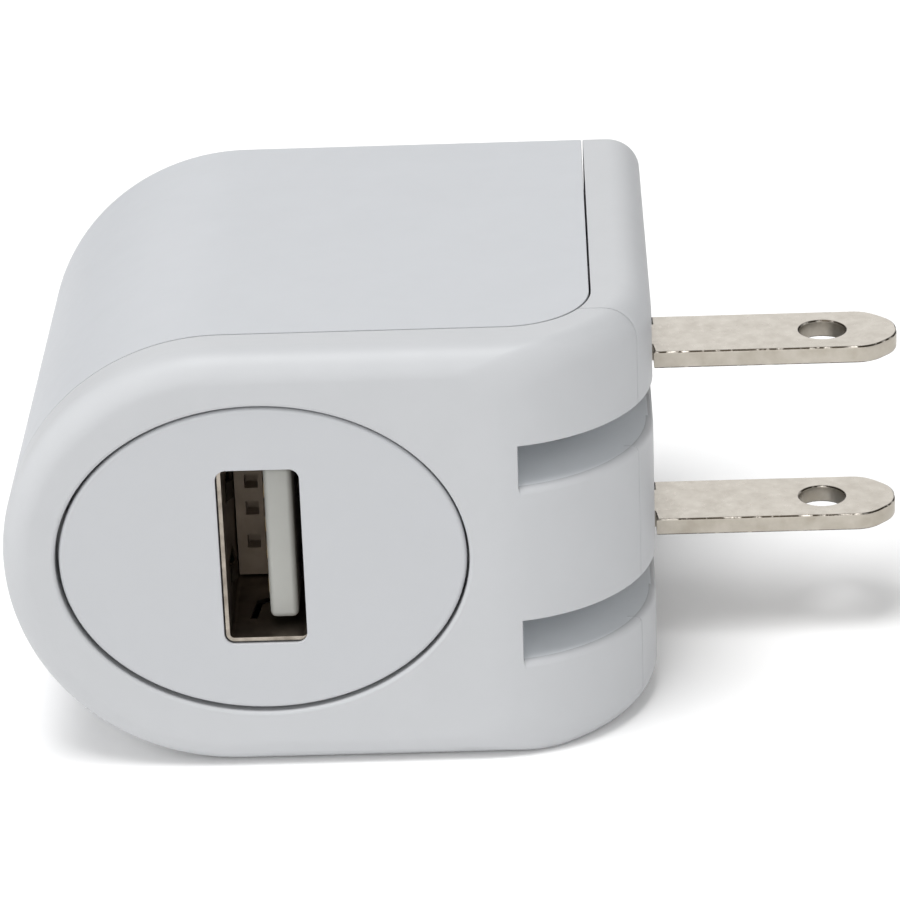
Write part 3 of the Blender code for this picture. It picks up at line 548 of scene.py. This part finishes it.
# ---------------------------------------------------------------- covers
def make_front_cover():
    branch_y = FRONT_Y + BRANCH_SEAM - BRANCH_HALF
    cover = envelope("front_cover_shell", back=BRANCH_SEAM + 4)
    combine(cover, envelope("cavity", WALL, steps=COARSE), rear_space(SEAM_HALF),
            block("behind", (ROUND_X - FAR, branch_y, -FAR), (MAINS_X + FAR, BACK_Y + FAR, FAR)))
    combine(cover, *slot_walls(FRONT_Y + WALL / 2, FRONT_Y + BRANCH_SEAM), operation="UNION")
    opening = [(-1.0, RIM_ROUND)]
    opening += [(RIM_ROUND * k / ROUND_STEPS, edge_inset(RIM_ROUND * k / ROUND_STEPS, RIM_ROUND))
                for k in range(ROUND_STEPS + 1)]
    opening.append((8.0, 0.0))
    combine(cover, *slot_cutters(), loft("opening", [oval(grow, depth - 0.003) for depth, grow in opening]))
    clean(cover)
    round_edges(cover, SLOT_SILL_ROUND, SLOT_SILL_STEPS, is_sill)
    round_edges(cover, EDGE_ROUND, 2, is_outside)
    # the slot faces take painted light, a lighter and bluer plastic than the housing
    paint_slot_light(cover)
    return finish_piece(cover, [HOUSING, SLOT_PAINTED_LIGHT], "housing", "housing_plastic", "front_cover")


def make_rear_cover():
    cover = envelope("rear_cover_shell")
    combine(cover, envelope("cavity", WALL, steps=COARSE))
    combine(cover, rear_space(-SEAM_HALF), operation="INTERSECT")
    clean(cover)
    round_edges(cover, EDGE_ROUND, 2, is_outside)
    return finish_piece(cover, REAR, "housing", "rear_plastic", "rear_cover")


def make_plug_end_cover():
    branch_y = FRONT_Y + BRANCH_SEAM + BRANCH_HALF
    cover = envelope("plug_end_cover_shell")
    combine(cover, envelope("cavity", WALL, steps=COARSE), rear_space(SEAM_HALF),
            block("before", (ROUND_X - FAR, FRONT_Y - FAR, -FAR), (MAINS_X + FAR, branch_y, FAR)))
    combine(cover, *slot_walls(FRONT_Y + BRANCH_SEAM, HINGE_Y + SLOT_STEP_AHEAD), operation="UNION")
    combine(cover, *slot_cutters(),
            cylinder("barrel_room", (HINGE_X, HINGE_Y, PAIR_Z), BARREL_ROOM_RADIUS, BARREL_ROOM_LENGTH))
    clean(cover)
    round_edges(cover, SLOT_SILL_ROUND, SLOT_SILL_STEPS, is_sill)
    round_edges(cover, EDGE_ROUND, 2, is_outside)
    # the slot faces take painted light, a lighter and bluer plastic than the housing
    paint_slot_light(cover)
    return finish_piece(cover, [HOUSING, SLOT_PAINTED_LIGHT], "housing", "housing_plastic", "plug_end_cover")


def make_port_bezel():
    profile = [(0.0, -RIM_ROUND)]
    for k in range(1, ROUND_STEPS + 1):
        depth = RIM_ROUND * (1 - math.cos(math.radians(90 * k / ROUND_STEPS)))
        profile.append((depth, -edge_inset(depth, RIM_ROUND)))
    near, far = BEZEL_FLANGE_SPAN
    profile += [(near, 0.0), (near, BEZEL_FLANGE), (far, BEZEL_FLANGE)]
    bezel = loft("port_bezel_oval", [oval(grow - BEZEL_CLEAR, depth) for depth, grow in profile])
    bezel.data.transform(Matrix.Translation((BEZEL_SHIFT_X, BEZEL_RECESS, BEZEL_SHIFT_Z)))
    place = (PORT_X, FRONT_Y, PORT_Z)
    lip = [(x + LIP_SHIFT, z + LIP_SHIFT) for x, z in rounded_rectangle(LIP_HALF_X, LIP_HALF_Z, PORT_CORNER)]
    around = SHELL_SHEET + SHELL_ROOM
    room = rounded_rectangle(PORT_OPEN_X / 2 + around, PORT_OPEN_Z / 2 + around, PORT_CORNER)
    combine(bezel, extrude("lip", lip, -2, 1, "Y", place), extrude("room", room, LIP_DEPTH, 8, "Y", place))
    clean(bezel, 0.2)
    face_y = FRONT_Y + BEZEL_RECESS + 0.01
    round_edges(bezel, LIP_ROUND, 3, lambda e: all(v.co.y < face_y for v in e.verts), 50.0)
    return finish_piece(bezel, BEZEL, "housing", "bezel_plastic", "port_bezel")


# ---------------------------------------------------------------- USB socket
def in_socket(name, outline, low, high, axis="Z"):
    return extrude(name, outline, low, high, axis, (PORT_X, FRONT_Y, PORT_Z))


def join(obj, *others):
    """Put separate closed solids in one mesh."""
    bm = bmesh.new()
    for one in (obj, *others):
        bm.from_mesh(one.data)
    bm.to_mesh(obj.data)
    bm.free()
    for other in others:
        bpy.data.objects.remove(other)
    return obj


def make_usb_shell():
    back = SHELL_SETBACK + SHELL_LENGTH
    outer = rounded_rectangle(PORT_OPEN_X / 2 + SHELL_SHEET, PORT_OPEN_Z / 2 + SHELL_SHEET, 0.6)
    inner = rounded_rectangle(PORT_OPEN_X / 2, PORT_OPEN_Z / 2, 0.3)
    shell = in_socket("usb_socket_shell", outer, SHELL_SETBACK, back, "Y")
    start = SHELL_SETBACK + WINDOW_FROM_MOUTH
    cutters = [in_socket("hollow", inner, SHELL_SETBACK - 2, back + 2, "Y")]
    for side in (-1, 1):
        for level in (-1, 1):
            wall_x = side * (PORT_OPEN_X / 2 + WINDOW_CUT_OUT)
            low_x = wall_x - WINDOW_CUT_HALF
            high_x = wall_x + WINDOW_CUT_HALF
            middle = level * WINDOW_PITCH
            corners = [(low_x, start), (high_x, start), (high_x, start + WINDOW_LENGTH),
                       (low_x, start + WINDOW_LENGTH)]
            cutters.append(in_socket("window", corners, middle - WINDOW_HALF, middle + WINDOW_HALF))
    cutters.append(in_socket("slit", FLOOR_SLIT, *FLOOR_SLIT_SPAN))
    combine(shell, *cutters)
    leaves = []
    for side in (-1, 1):
        wall = side * (PORT_OPEN_X / 2 + SHELL_SHEET / 2)
        path = [(wall + side * inward, start + ahead) for inward, ahead in LEAF_PATH]
        for level in (-1, 1):
            low = level * WINDOW_PITCH - LEAF_HALF
            leaves.append(in_socket("leaf", ribbon(path, LEAF_SHEET), low, low + 2 * LEAF_HALF))
    clean(shell, 0.2)
    mouth = FRONT_Y + SHELL_SETBACK
    round_edges(shell, SHELL_MOUTH_ROUND, 2, lambda e: all(v.co.y < mouth + 0.05 for v in e.verts), 50.0)
    join(shell, *leaves)
    # faces at the mouth take the lighter steel as painted light, the rest the darker steel as painted shade
    for face in shell.data.polygons:
        deepest = max(shell.data.vertices[i].co.y for i in face.vertices)
        face.material_index = 1 if deepest < mouth + 0.08 else 0
    return finish_piece(shell, [SOCKET_STEEL_PAINTED_SHADE, SOCKET_RIM_PAINTED_LIGHT], "housing", "socket_steel", "usb_shell")


def make_usb_tongue():
    block_back = SHELL_SETBACK + SHELL_LENGTH - 0.3
    half_x = PORT_OPEN_X / 2 - TONGUE_CLEAR
    half_z = PORT_OPEN_Z / 2 - TONGUE_CLEAR
    near = TONGUE_OFFSET - TONGUE_THICK / 2
    place = (PORT_X, FRONT_Y, PORT_Z)
    insulator = block("usb_tongue_insulator", (-half_x, TONGUE_BLOCK_FROM, -half_z),
                      (half_x, block_back, half_z), place)
    tongue = block("tongue", (near, TONGUE_SETBACK, -TONGUE_WIDTH / 2),
                   (near + TONGUE_THICK, TONGUE_BLOCK_FROM + 0.5, TONGUE_WIDTH / 2), place)
    front = FRONT_Y + TONGUE_SETBACK
    round_edges(tongue, TONGUE_ROUND, 4, lambda e: any(abs(v.co.y - front) < 0.01 for v in e.verts))
    combine(insulator, tongue, operation="UNION")
    cutters = []
    for pitch in CONTACT_PITCHES:
        cutters.append(block("channel", (near - 0.6, TONGUE_SETBACK + 0.7, pitch - CHANNEL_HALF),
                             (near + CHANNEL_DEPTH, block_back + 1, pitch + CHANNEL_HALF), place))
        cutters.append(block("root", (ROOT_SPAN[0], TONGUE_BLOCK_FROM - 1, pitch - ROOT_HALF),
                             (ROOT_SPAN[1], TONGUE_BLOCK_FROM + ROOT_DEPTH, pitch + ROOT_HALF), place))
    combine(insulator, *cutters)
    clean(insulator, 0.2)
    # painted shade: faces from the block's front backwards take the dark brown
    block_front = FRONT_Y + TONGUE_BLOCK_FROM - 0.01
    for face in insulator.data.polygons:
        deepest = min(insulator.data.vertices[i].co.y for i in face.vertices)
        face.material_index = 1 if deepest > block_front else 0
    return finish_piece(insulator, [IVORY, SOCKET_BACK_PAINTED_SHADE], "housing", "insulator", "usb_tongue")


# ---------------------------------------------------------------- folding blades
def make_blade(level_name, level):
    """A flat mains blade: sloped tip, round hole, and a narrower shank held in the carrier."""
    half = BLADE_WIDTH / 2
    shank = SHANK_WIDTH / 2
    shoulder = MAINS_X + SHOULDER_FROM_MAINS - HINGE_X
    tip = TIP_X - HINGE_X
    nose_y = half - BLADE_CHAMFER - BLADE_NOSE * math.tan(math.radians(22.5))
    heel_x = tip - BLADE_CHAMFER - BLADE_HEEL * math.tan(math.radians(22.5))
    heel = arc(heel_x, BLADE_HEEL - half, BLADE_HEEL, -90, -45, 8)
    outline = [(-SHANK_BEHIND_HINGE, SHANK_CHAMFER - shank), (SHANK_CHAMFER - SHANK_BEHIND_HINGE, -shank),
               (shoulder, -shank), (shoulder, -half)]
    outline += heel + arc(tip - BLADE_NOSE, -nose_y, BLADE_NOSE, -45, 0, 10)
    outline += [(x, -y) for x, y in reversed(outline)]
    centre = (HINGE_X, HINGE_Y, PAIR_Z + level)
    blade = extrude(f"{level_name}_mains_blade", outline, -BLADE_THICK / 2, BLADE_THICK / 2, shift=centre)
    hole_x = TIP_X - BLADE_HOLE_FROM_TIP
    combine(blade, cylinder("hole", (hole_x, HINGE_Y, PAIR_Z + level), BLADE_HOLE / 2, 4, steps=96))
    beyond = MAINS_X + SHOULDER_FROM_MAINS - 0.1

    def is_rim(edge):
        level_edge = abs(edge.verts[0].co.z - edge.verts[1].co.z) < 1e-4
        return level_edge and min(v.co.x for v in edge.verts) > beyond

    round_edges(blade, BLADE_RIM_ROUND, 4, is_rim)
    hole_reach = BLADE_HOLE / 2 + 0.1
    for face in blade.data.polygons:
        upright = abs(face.normal.z)
        if upright > 0.85:
            face.material_index = 0
        # faces of the rounded edges take the painted dark reflection line and glints
        elif upright > 0.3:
            face.material_index = 2
        elif math.hypot(face.center.x - hole_x, face.center.y - HINGE_Y) < hole_reach:
            face.material_index = 3
        # side faces take the darker nickel as painted shade
        else:
            face.material_index = 1
    return finish_piece(blade, [NICKEL, BLADE_SIDE_PAINTED_SHADE, BLADE_EDGE_PAINTED_REFLECTION, BORE], "blades", "blade_nickel", f"{level_name}_blade")


def make_blade_carrier():
    """Turned barrel with a trunnion at each end, two detent flats and a pocket for each shank."""
    profile = [(TRUNNION_RADIUS - TURNED_CHAMFER, TRUNNION_HALF),
               (TRUNNION_RADIUS, TRUNNION_HALF - TURNED_CHAMFER),
               (TRUNNION_RADIUS, BARREL_HALF), (BARREL_RADIUS - TURNED_CHAMFER, BARREL_HALF),
               (BARREL_RADIUS, BARREL_HALF - TURNED_CHAMFER)]
    profile += [(x, -z) for x, z in reversed(profile)]
    rings = []
    for radius, z in profile:
        ring = arc(HINGE_X, HINGE_Y, radius, 0, 360 - 360 / TURN_STEPS, TURN_STEPS - 1)
        rings.append([(x, y, PAIR_Z + z) for x, y in ring])
    carrier = loft("blade_carrier_barrel", rings)
    reach = BARREL_RADIUS + 1
    centre = (HINGE_X, HINGE_Y, PAIR_Z)
    cutters = []
    for _, level in BLADE_LEVELS:
        cutters.append(block("pocket", (-reach, -POCKET_HALF, level - BLADE_THICK / 2 - POCKET_CLEAR),
                             (reach, POCKET_HALF, level + BLADE_THICK / 2 + POCKET_CLEAR), centre))
    cutters.append(block("flat", (-reach, DETENT_FLAT, -DETENT_HALF), (reach, reach, DETENT_HALF), centre))
    cutters.append(block("flat", (-reach, -reach, -DETENT_HALF), (-DETENT_FLAT, reach, DETENT_HALF), centre))
    combine(carrier, *cutters)
    return finish_piece(carrier, HOUSING, "blades", "housing_plastic", "blade_carrier")


# ---------------------------------------------------------------- CAD nodes that stay as they are
NODE_FINISH = {
    "carrier_retainer": BLACK, "detent_spring": BRONZE, "upper_blade_contact": BRONZE,
    "lower_blade_contact": BRONZE, "usb_contact_1": BRONZE, "usb_contact_2": BRONZE,
    "usb_contact_3": BRONZE, "usb_contact_4": BRONZE, "line_wire": WIRE, "neutral_wire": WIRE,
    "main_board": LAMINATE, "transformer_core_inner": FERRITE, "transformer_core_outer": FERRITE,
    "transformer_bobbin": BLACK, "transformer_winding": TAPE, "mains_capacitor_1": SLEEVE,
    "mains_capacitor_2": SLEEVE, "output_capacitor": SLEEVE, "bridge_rectifier": BLACK,
    "controller_chip": BLACK, "output_diode": BLACK, "y_capacitor": CERAMIC,
    "fusible_resistor": CERAMIC, "filter_inductor": FERRITE, "insulation_sheet": FILM,
}


def finish_nodes():
    for name, material in NODE_FINISH.items():
        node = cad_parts[name]
        node.data.materials.clear()
        node.data.materials.append(material)


# ---------------------------------------------------------------- floor, light and camera
ROOM_LIGHT = 0.05
KEY_POWER = 1.80
KEY_PLACE = (-70, -105, 478)
KEY_TARGET = (0, 0, 10)
KEY_SIZE = 220
FLOOR_HALF = 1500
CAMERA_PLACE = (6.058, -272.055, 138.748)
CAMERA_PITCH_YAW_ROLL = (24.597, -1.455, 2.200)
CAMERA_LENS = 171.35
SENSOR_WIDTH = 36.0
# direction, outer and inner angle in degrees, and strength of each patch of the room
ROOM_PATCHES = (
    ((-0.20, -1.0, 0.05), 60, 10, 1.80),
    ((0.0, -0.60, 0.80), 40, 15, 0.20),
    ((-1.0, -0.10, 0.30), 50, 20, 1.45),
    ((1.0, -0.10, 0.30), 50, 20, 0.92),
    ((0.0, 0.909, 0.416), 40, 10, 1.26),
)


def make_floor():
    bm = bmesh.new()
    bmesh.ops.create_grid(bm, x_segments=1, y_segments=1, size=FLOOR_HALF)
    floor = piece_of("floor", bm)
    floor.data.transform(Matrix.Scale(MM, 4))
    paper = surface("floor_paper", (0.93, 0.93, 0.93), (0.95, 0.95, 0.95), (0.8, 0.9), patch=20.0, bump=0.0,
                    specular=0.1)
    floor.data.materials.append(paper)


def make_key():
    data = bpy.data.lights.new("key", "AREA")
    data.shape = "RECTANGLE"
    data.size = KEY_SIZE * MM
    data.size_y = KEY_SIZE * MM
    data.energy = KEY_POWER
    light = bpy.data.objects.new("key", data)
    light.location = Vector(KEY_PLACE) * MM
    light.rotation_mode = "QUATERNION"
    light.rotation_quaternion = (Vector(KEY_TARGET) - Vector(KEY_PLACE)).to_track_quat("-Z", "Y")
    bpy.context.scene.collection.objects.link(light)


def lobe(tree, direction, outer, inner):
    """1 within a cone about a direction of the world, 0 beyond a wider one; angles in degrees."""
    coordinates = tree.nodes.new("ShaderNodeTexCoord")
    along = tree.nodes.new("ShaderNodeVectorMath")
    along.operation = "DOT_PRODUCT"
    along.inputs[1].default_value = Vector(direction).normalized()
    tree.links.new(coordinates.outputs["Generated"], along.inputs[0])
    spread = tree.nodes.new("ShaderNodeMapRange")
    spread.interpolation_type = "SMOOTHSTEP"
    spread.inputs["From Min"].default_value = math.cos(math.radians(outer))
    spread.inputs["From Max"].default_value = math.cos(math.radians(inner))
    tree.links.new(along.outputs["Value"], spread.inputs["Value"])
    return spread.outputs["Result"]


def make_light():
    """Soft panels in front, behind and at both sides of a dim room, with a soft key light overhead."""
    world = bpy.data.worlds.new("studio")
    world.use_nodes = True
    tree = world.node_tree
    sky = tree.nodes["Background"]
    strength = ROOM_LIGHT
    for direction, outer, inner, level in ROOM_PATCHES:
        added = tree.nodes.new("ShaderNodeMath")
        added.operation = "MULTIPLY_ADD"
        tree.links.new(lobe(tree, direction, outer, inner), added.inputs[0])
        added.inputs[1].default_value = level
        if isinstance(strength, float):
            added.inputs[2].default_value = strength
        else:
            tree.links.new(strength, added.inputs[2])
        strength = added.outputs["Value"]
    tree.links.new(strength, sky.inputs["Strength"])
    sky.inputs["Color"].default_value = (1.0, 1.0, 1.0, 1.0)
    bpy.context.scene.world = world
    make_key()
    bpy.context.scene.view_settings.view_transform = "Standard"


def make_camera():
    pitch, yaw, roll = (math.radians(angle) for angle in CAMERA_PITCH_YAW_ROLL)
    right = Vector((1, 0, 0))
    up = Vector((0, math.sin(pitch), math.cos(pitch)))
    forward = Vector((0, math.cos(pitch), -math.sin(pitch)))
    turn = Matrix.Rotation(yaw, 3, "Z")
    tilt = Matrix.Rotation(roll, 3, "Z")
    rows = tilt @ Matrix((right, up, forward)) @ turn
    data = bpy.data.cameras.new("camera")
    data.sensor_width = SENSOR_WIDTH
    data.lens = CAMERA_LENS
    data.clip_start = 0.01
    data.clip_end = 20.0
    camera = bpy.data.objects.new("camera", data)
    axes = Matrix((rows[0], rows[1], -rows[2])).transposed()
    camera.matrix_world = Matrix.Translation(Vector(CAMERA_PLACE) * MM) @ axes.to_4x4()
    bpy.context.scene.collection.objects.link(camera)
    bpy.context.scene.camera = camera


# ---------------------------------------------------------------- build
make_front_cover()
make_rear_cover()
make_plug_end_cover()
make_port_bezel()
make_usb_shell()
make_usb_tongue()
for level_name, level in BLADE_LEVELS:
    make_blade(level_name, level)
make_blade_carrier()
finish_nodes()
make_floor()
make_light()
make_camera()
